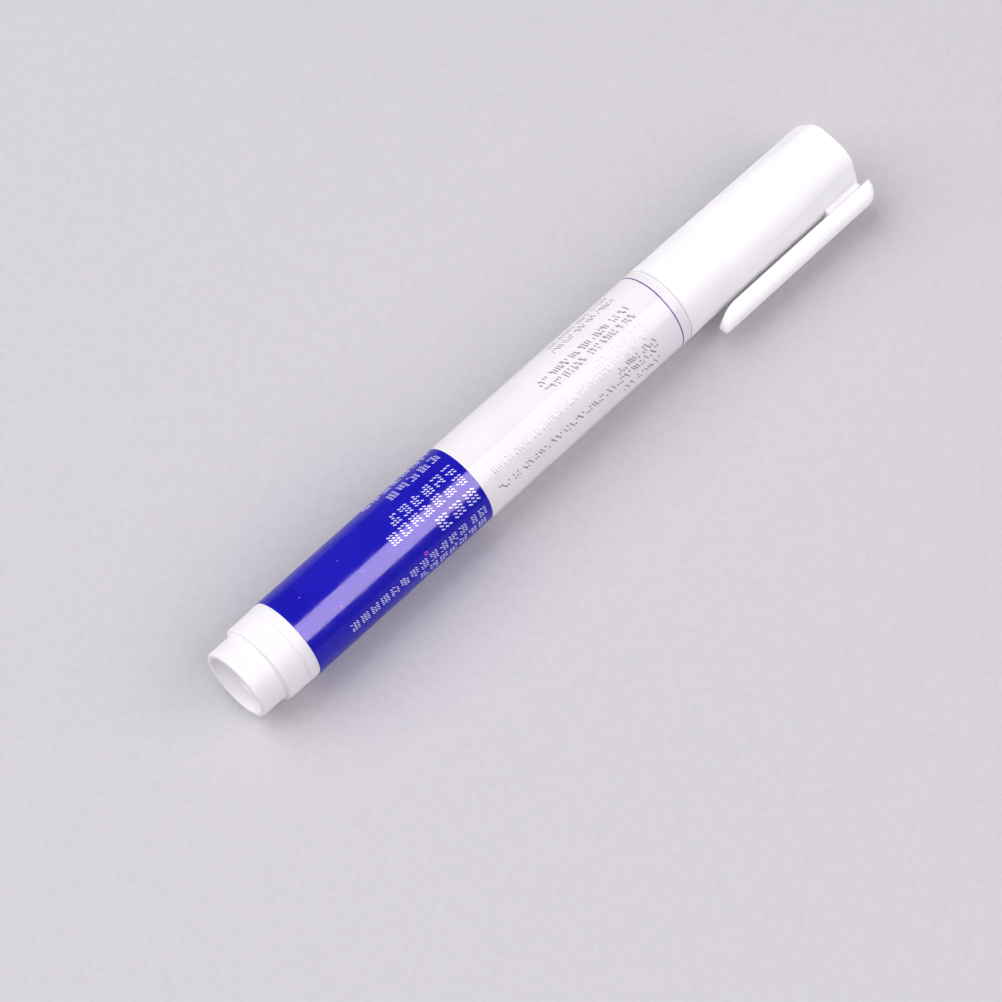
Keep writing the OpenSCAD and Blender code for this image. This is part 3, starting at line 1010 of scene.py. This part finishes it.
@dataclass
class Valve:
    """The spring valve behind the nib: the coil is new, the other parts keep their solids."""

    spring_from: float = 91.3
    spring_to: float = 101.3
    coil_r: float = 1.8
    wire_r: float = 0.2
    turns: float = 6.0
    keep: float = 0.82

    def coil(self) -> np.ndarray:
        """The coil's surface: a circle of the wire's radius carried along a helix.

        At share t of the turns the centre is (x, r cos 2 pi n t, r sin 2 pi n t). The first and
        last turns lie close together: x climbs as t - 0.9 sin(2 pi t) / (2 pi) in shares of the
        coil's length.

        Returns:
            Points of shape (rows, sides, 3), in metres.
        """
        steps, sides = int(self.turns * 36), 14
        t = np.linspace(0, 1, steps + 1)[:, None]
        a = (np.arange(sides) * 2 * math.pi / sides)[None, :]
        climb = t - 0.9 * np.sin(2 * math.pi * t) / (2 * math.pi)
        length = self.spring_to - self.spring_from - 2 * self.wire_r
        radius = self.coil_r + self.wire_r * np.cos(a)
        x = self.spring_from + self.wire_r + length * climb + self.wire_r * np.sin(a)
        turn = 2 * math.pi * self.turns * t
        grid = np.stack([x + 0 * radius, radius * np.cos(turn), radius * np.sin(turn)], axis=2)
        first, last = (np.repeat(grid[[k]].mean(axis=1, keepdims=True), sides, axis=1) for k in (0, -1))
        return np.concatenate([first, grid, last]) * MM

    def build(self) -> None:
        """Makes the coil and dresses it, and gives the kept solids their materials."""
        piece = closed_surface("valve_spring_coil", self.coil(), Ends.POLES)
        dress(piece, WIRE.material(), "spring_wire", "pen_body", "valve_spring")
        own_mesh(piece)
        kept = {"liquid_fill": (FLUID, "liquid"), "holder_o_ring": (RUBBER, "seal_rubber"),
                "valve_housing": (NATURAL_PLASTIC, "natural_plastic"), "valve_seat": (RUBBER, "seal_rubber"),
                "valve_stem": (STEM_PLASTIC, "natural_plastic")}
        for node, (finish, slot) in kept.items():
            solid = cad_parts[node]
            solid.data.materials.clear()
            solid.data.materials.append(finish.material())
            LOG.info("%s keeps its solid", node)


@dataclass
class Cap:
    """The cap: collar, body with six shallow flats, closed end, bores, liner and the clip's post."""

    mouth: float = 96.62
    collar_end: float = 102.2
    end: float = 138.0
    mouth_r: float = 7.43
    collar_r: float = 7.34
    body_r: float = 7.36
    end_r: float = 7.15
    edge_r: float = 0.32
    bore_r: float = 6.6
    step_x: float = 107.7
    inner_r: float = 6.15
    floor_x: float = 136.5
    flat_count: int = 6
    flat_depth: float = 0.36
    flat_len: float = 24.0
    flat_soft: float = 0.04
    flat_lip: float = 0.02
    pad: float = 0.2
    roll: float = 99.0
    end_dish: float = 0.12
    end_dish_r: float = 4.6
    end_rim_r: float = 5.1
    fade_r: float = 5.4
    post_from: float = 129.4
    post_to: float = 137.5
    post_w: float = 3.9
    post_in_r: float = 6.6
    post_out_r: float = 8.5

    def recess(self, x: np.ndarray, body: np.ndarray, angle: np.ndarray) -> np.ndarray:
        """How deep the flats cut below the round body at each place and angle.

        A flat is a plane at distance d(x) from the axis, at radius d / cos(angle from the flat's
        middle), and d falls towards the cap's end. The cut is the body's radius less the plane's
        where that is positive, eased over flat_soft: (c + sqrt(c^2 + soft^2)) / 2. A low lip
        around each flat adds flat_lip within the first hundredths of a millimetre of the cut.
        Under the clip the wall keeps its height: a low pad grows towards the end and adds
        pad * (place along the body) * exp(-(angle from the clip / 20)^2).

        Args:
            x: Places along the pen, shape (m,), in millimetres.
            body: The round body's radius at each place, shape (m,).
            angle: Angles around the pen, shape (n,), in radians.

        Returns:
            Depths below the body, shape (m, n), in millimetres.
        """
        draft = (self.body_r - self.end_r) / (self.end - self.collar_end)
        flat = self.end_r - self.flat_depth + (self.end - x) * (self.flat_depth / self.flat_len + draft)
        pitch = 2 * math.pi / self.flat_count
        off = (angle - math.radians(self.roll)) % pitch - pitch / 2
        cut = body[:, None] - flat[:, None] / np.cos(off)[None, :]
        eased = (cut + np.sqrt(cut ** 2 + self.flat_soft ** 2)) / 2
        pad = self.pad * np.clip((x - self.collar_end) / (self.post_from - self.collar_end), 0, 1)
        away = np.degrees((angle - math.radians(self.roll) + math.pi) % (2 * math.pi) - math.pi)
        return eased + self.flat_lip * np.clip(cut / 0.04, 0, 1) - pad[:, None] * np.exp(-(away / 20) ** 2)

    def shell(self) -> np.ndarray:
        """The cap's whole surface, from the middle of its end round the mouth to the inner floor.

        The flats' cut fades in from the collar and from the radius fade_r on the end face.

        Returns:
            Points of shape (rows, angles, 3), in metres.
        """
        lip = (self.mouth_r + self.bore_r) / 2
        outside = rounded_path([(self.end - self.end_dish, 0), (self.end - self.end_dish, self.end_dish_r),
                                (self.end, self.end_rim_r),
                                (self.end, self.end_r), (self.collar_end + 0.7, self.body_r),
                                (self.collar_end, self.collar_r), (self.mouth + 3.2, self.collar_r),
                                (self.mouth, self.mouth_r), (self.mouth, lip)],
                               [0, 0.8, 0.8, self.edge_r, 0.6, 0.4, 4.0, 0.06, 0],
                               closed=False, arc_steps=7)
        inside = rounded_path([(self.mouth, lip), (self.mouth, self.bore_r), (self.step_x, self.bore_r),
                               (self.step_x + 0.3, self.inner_r), (self.floor_x, self.inner_r),
                               (self.floor_x, 0)], [0, 0.12, 0.1, 0.1, 0.5, 0], closed=False, arc_steps=7)
        outside, inside = (with_stations(path, 0.9, closed=False) for path in (outside, inside))
        steps = 288
        angle = np.arange(steps) * 2 * math.pi / steps
        x, r = outside[:, 0], outside[:, 1]
        body = np.interp(x, [self.collar_end, self.end], [self.body_r, self.end_r])
        share = (np.clip((r - self.fade_r) / (body - self.fade_r), 0, 1) ** 2
                 * np.clip((x - self.collar_end - 1) / 4, 0, 1))
        outer = r[:, None] - self.recess(x, body, angle) * share[:, None]
        inner = np.broadcast_to(inside[1:, 1][:, None], (len(inside) - 1, steps))
        along = np.concatenate([x, inside[1:, 0]])
        return around(along * MM, np.concatenate([outer, inner]) * MM, steps)

    def post_outline(self) -> np.ndarray:
        """The post's plan: a plain block with rounded corners."""
        a, b, w = self.post_from, self.post_to, self.post_w / 2
        return rounded_path([(a, -w), (b, -w), (b, w), (a, w)], [0.35] * 4, arc_steps=6)

    def liner_corners(self) -> tuple:
        """The sealing liner's half section.

        Returns:
            Its corners (x, radius) and their rounding radii, in millimetres.
        """
        corners = [(109.5, 4.95), (109.5, 6.15), (111.0, 6.15), (111.0, 5.65), (114.0, 5.65),
                   (121.0, 4.1), (135.0, 4.1), (135.0, 6.15), (136.5, 6.15), (136.5, 0),
                   (135.0, 0), (135.0, 3.4), (121.0, 3.4), (114.0, 4.95)]
        radii = [0.3, 0.15, 0.1, 0.15, 0.8, 0.8, 0.3, 0.1, 0.1, 0, 0, 0.5, 0.8, 0.8]
        return corners, radii

    def build(self) -> None:
        """Makes the cap, its post and its liner and dresses them."""
        # The cap's plastic carries painted bounce light in its brighter colour.
        plastic = BOUNCE_LIT_WHITE_PLASTIC.material()
        shell = closed_surface("cap_moulding", self.shell(), Ends.POLES)
        dress(shell, plastic, "white_plastic", "cap", "cap_shell")
        post = extruded("clip_post", self.post_outline() * MM, self.post_in_r * MM,
                        self.post_out_r * MM, math.radians(self.roll))
        dress(post, plastic, "white_plastic", "cap")
        corners, radii = self.liner_corners()
        ring = corners[10:] + corners[:10]
        turns = radii[10:] + radii[:10]
        path = rounded_path(ring, turns, closed=False) * MM
        liner = closed_surface("cap_seal_liner", around(path[:, 0], path[:, 1], 128), Ends.POLES)
        dress(liner, NATURAL_PLASTIC.material(), "natural_plastic", "cap", "cap_liner")


@dataclass
class PocketClip:
    """The pocket clip: a crowned bar with a round free end, a ramp under it and a rounded root."""

    start: float = 101.3
    end: float = 139.5
    width: float = 4.45
    inner_r: float = 8.13
    outer_r: float = 11.185
    root_round: float = 2.7
    lead_len: float = 4.6
    lead_h: float = 1.4
    nose: float = 0.45
    heel: float = 0.3
    root_corner: float = 0.9
    widest: float = 0.08
    crown_power: float = 2.3
    foot_power: float = 4.0
    roll: float = 99.0
    bend_from: float = 130.6
    bend_to: float = 121.0

    def section(self) -> np.ndarray:
        """The clip's cross-section as (share of half width, share of thickness) pairs.

        Above its widest level the outline is |y|^p + h^p = 1, with p the crown's power and h
        counted from there. Below it the foot's power, which is higher, leaves a flat underside
        with softened edges.

        Returns:
            Points of shape (n, 2).
        """
        up, down = np.linspace(0, math.pi, 45), np.linspace(0, math.pi, 17)[1:-1]
        crown = np.stack([np.sign(np.cos(up)) * np.abs(np.cos(up)) ** (2 / self.crown_power),
                          self.widest + (1 - self.widest) * np.sin(up) ** (2 / self.crown_power)], axis=1)
        foot = np.stack([-np.sign(np.cos(down)) * np.abs(np.cos(down)) ** (2 / self.foot_power),
                         self.widest - self.widest * np.sin(down) ** (2 / self.foot_power)], axis=1)
        return np.concatenate([crown, foot])

    def grid(self) -> np.ndarray:
        """The clip's surface: the section scaled at each place along the pen.

        Half width: w * (1 - (1 - s / w)^2)^0.5 near the free end (a half circle) and a quarter
        round at the root. The underside rises as lead_h * (1 - s / lead_len)^2 towards
        the free end, and the top follows the root's corner circle. Both ends close with the same
        quarter-circle rule on the thickness.

        Returns:
            Points of shape (rows, columns, 3), in metres.
        """
        w = self.width / 2
        length = self.end - self.start
        share = np.linspace(0, 1, 160)
        ease = 0.5 - 0.5 * np.cos(math.pi * share)
        s = length * (0.12 * share + 0.88 * ease)
        x = self.start + s

        def quarter(distance: np.ndarray, radius: float) -> np.ndarray:
            """A quarter circle's height share at a distance from its end."""
            return np.sqrt(np.clip(1 - (1 - np.clip(distance / radius, 0, 1)) ** 2, 0, None))

        corner = self.root_corner
        root = (w - corner + corner * quarter(length - s, corner)) / w
        half = w * quarter(s, w) * root
        under = self.inner_r + self.lead_h * np.clip(1 - s / self.lead_len, 0, None) ** 2
        past = np.clip(x - (self.end - self.root_round), 0, self.root_round)
        over = self.outer_r - self.root_round + np.sqrt(self.root_round ** 2 - past ** 2)
        lift = quarter(s, self.nose) * quarter(length - s, self.heel)
        middle = (under + over) / 2
        low = middle - (middle - under) * lift
        high = middle + (over - middle) * lift
        section = self.section()
        y = half[:, None] * section[None, :, 0]
        z = low[:, None] + (high - low)[:, None] * section[None, :, 1]
        roll = math.radians(self.roll)
        points = np.stack([np.broadcast_to(x[:, None], y.shape),
                           y * math.cos(roll) - z * math.sin(roll),
                           y * math.sin(roll) + z * math.cos(roll)], axis=2)
        return points * MM

    def build(self) -> None:
        """Makes the clip, gives it its material and hides the imported clip."""
        piece = closed_surface("pocket_clip_arm", self.grid(), Ends.POLES)
        # The clip's plastic carries painted bounce light in its brighter colour.
        piece.data.materials.append(BOUNCE_LIT_WHITE_PLASTIC.material())
        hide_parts("pocket_clip")
        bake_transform(piece)
        LOG.info("%s bends from cap to clip, %d faces", piece.name, len(piece.data.polygons))


# ---------------------------------------------------------------------------------------------
# Studio
# ---------------------------------------------------------------------------------------------


@dataclass
class Studio:
    """The camera, a plain pale floor, soft lights and a pale room around them."""

    azimuth: float = -45.665
    elevation: float = 62.07
    distance: float = 0.528736
    target: tuple = (0.05222, -0.006793, 0.0)
    lens: float = 118.56
    sensor_width: float = 36.0
    floor_z: float = -0.00746
    floor_side: float = 4.0
    floor_colour: tuple = (0.55, 0.54, 0.565)
    room_light: tuple = (0.80, 0.78, 0.84)
    room_strength: float = 0.30

    def camera(self) -> None:
        """Looks at the target from its azimuth and elevation.

        The camera stands at target + distance * (sin az cos el, -cos az cos el, sin el).
        """
        az, el = math.radians(self.azimuth), math.radians(self.elevation)
        back = Vector((math.sin(az) * math.cos(el), -math.cos(az) * math.cos(el), math.sin(el)))
        data = bpy.data.cameras.new("camera")
        data.lens, data.sensor_width = self.lens, self.sensor_width
        data.clip_start, data.clip_end = 0.01, 20.0
        camera = bpy.data.objects.new("camera", data)
        camera.location = Vector(self.target) + back * self.distance
        camera.rotation_euler = (-back).to_track_quat("-Z", "Y").to_euler()
        bpy.context.scene.collection.objects.link(camera)
        bpy.context.scene.camera = camera

    def floor(self) -> None:
        """A plain pale floor under the pen, with a very faint grain."""
        corners = np.array([(-1, -1), (1, -1), (1, 1), (-1, 1)]) * self.floor_side / 2
        points = np.column_stack([corners, np.full(4, self.floor_z)])
        floor = mesh_piece("floor", points, [[0, 1, 2, 3]])
        s = Sheet("pale_floor")
        shade = tuple(0.96 * c for c in self.floor_colour)
        s.cover(s.ramp(s.noise(900, 2), 0.3, 0.7), self.floor_colour, shade)
        s.set(Roughness=0.9, Specular_IOR_Level=0.2)
        floor.data.materials.append(s.material)

    def softbox(self, name: str, direction: tuple, distance: float, size: tuple, power: float,
                colour: tuple, in_diffuse: bool, in_gloss: bool) -> None:
        """A rectangular light that faces the pen's middle.

        Args:
            name: The light's name.
            direction: Where it stands, seen from the pen.
            distance: Its distance from the pen, in metres.
            size: Its width along X and its height, in metres.
            power: Its power in watts.
            colour: Its colour.
            in_diffuse: Whether it lights matt surfaces.
            in_gloss: Whether it shows in reflections.
        """
        data = bpy.data.lights.new(name, "AREA")
        data.shape, data.size, data.size_y = "RECTANGLE", size[0], size[1]
        data.energy, data.color = power, colour
        light = bpy.data.objects.new(name, data)
        way = Vector(direction).normalized()
        across = Vector((1, 0, 0))
        across = (across - way * across.dot(way)).normalized()
        up = way.cross(across)
        light.matrix_world = Matrix((across, up, way)).transposed().to_4x4()
        light.location = Vector((self.target[0], 0, 0)) + way * distance
        light.visible_diffuse, light.visible_glossy = in_diffuse, in_gloss
        light.visible_camera = False
        bpy.context.scene.collection.objects.link(light)

    def lights(self) -> None:
        """A box whose reflection runs along the pen, two broad matt lights and the room."""
        self.softbox("strip_reflection", (0.335, -0.513, 0.790), 1.0, (1.5, 0.86), 86.0,
                     (1.0, 0.80, 0.94), False, True)
        self.softbox("broad_key", (-0.40, 0.46, 0.79), 1.3, (1.6, 1.3), 19.5, (1.0, 0.985, 1.0), True, False)
        self.softbox("broad_fill", (0.28, -0.72, 0.72), 1.3, (1.6, 1.1), 10.6, (1.0, 0.975, 1.0), True, False)
        world = bpy.data.worlds.new("pale_room")
        world.use_nodes = True
        background = world.node_tree.nodes["Background"]
        background.inputs["Color"].default_value = rgba(self.room_light)
        background.inputs["Strength"].default_value = self.room_strength
        bpy.context.scene.world = world

    def build(self) -> None:
        """Makes the floor and lights and sets how colours are shown."""
        self.floor()
        self.lights()
        bpy.context.scene.view_settings.view_transform = "Standard"
        bpy.context.scene.view_settings.look = "None"


def main() -> None:
    """Builds the camera, the pen's sub-assemblies and the studio."""
    logging.basicConfig(level=logging.INFO, format="%(name)s: %(message)s")
    studio = Studio()
    studio.camera()
    for part in (TailPlug(), Barrel(), Label(), FrontSection(), Nib(), Valve(), Cap(), PocketClip()):
        part.build()
    studio.build()
    bpy.context.view_layer.update()


if __name__ == "__main__":
    main()
